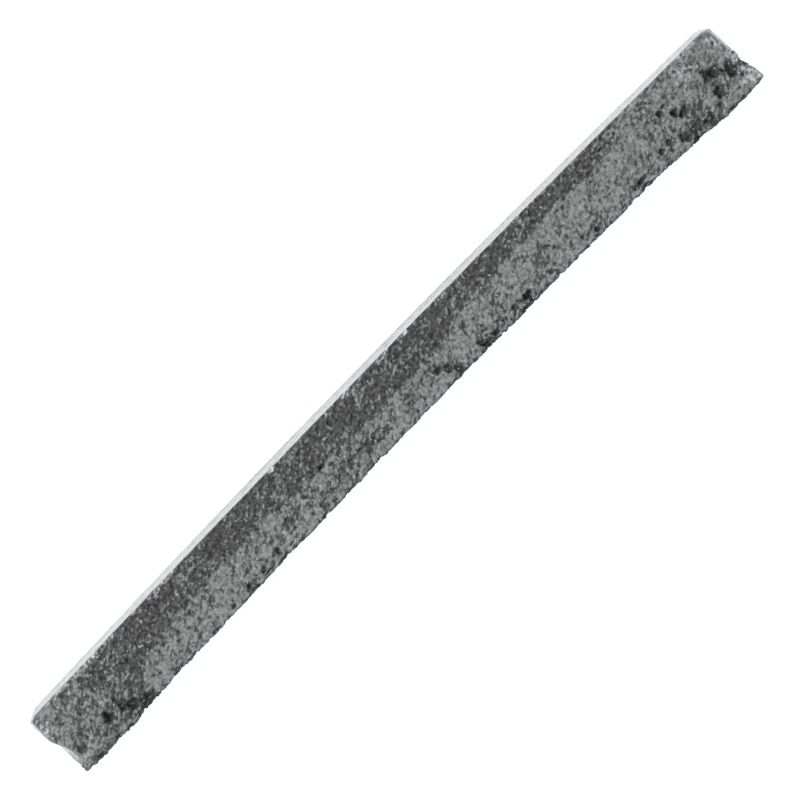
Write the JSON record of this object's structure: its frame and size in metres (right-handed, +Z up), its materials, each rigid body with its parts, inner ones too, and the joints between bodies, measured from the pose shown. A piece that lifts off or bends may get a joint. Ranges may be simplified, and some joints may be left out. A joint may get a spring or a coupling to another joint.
{
  "type": "charcoal stick",
  "caption": "Slightly bowed square bar of pressed charcoal for drawing, with a smooth moulded side, a crumbly worn side and broken ends.",
  "frame": {"origin": "on the surface the stick lies on, under the middle of the stick's bounding box", "axes": "+X along the stick, +Y across it towards its smooth convex side, +Z up out of its face"},
  "size_m": [0.081, 0.0068, 0.0063],
  "materials": {
    "charcoal": "matte"
  },
  "bodies": {
    "root": {"charcoal_stick": "charcoal"}
  },
  "joints": []
}
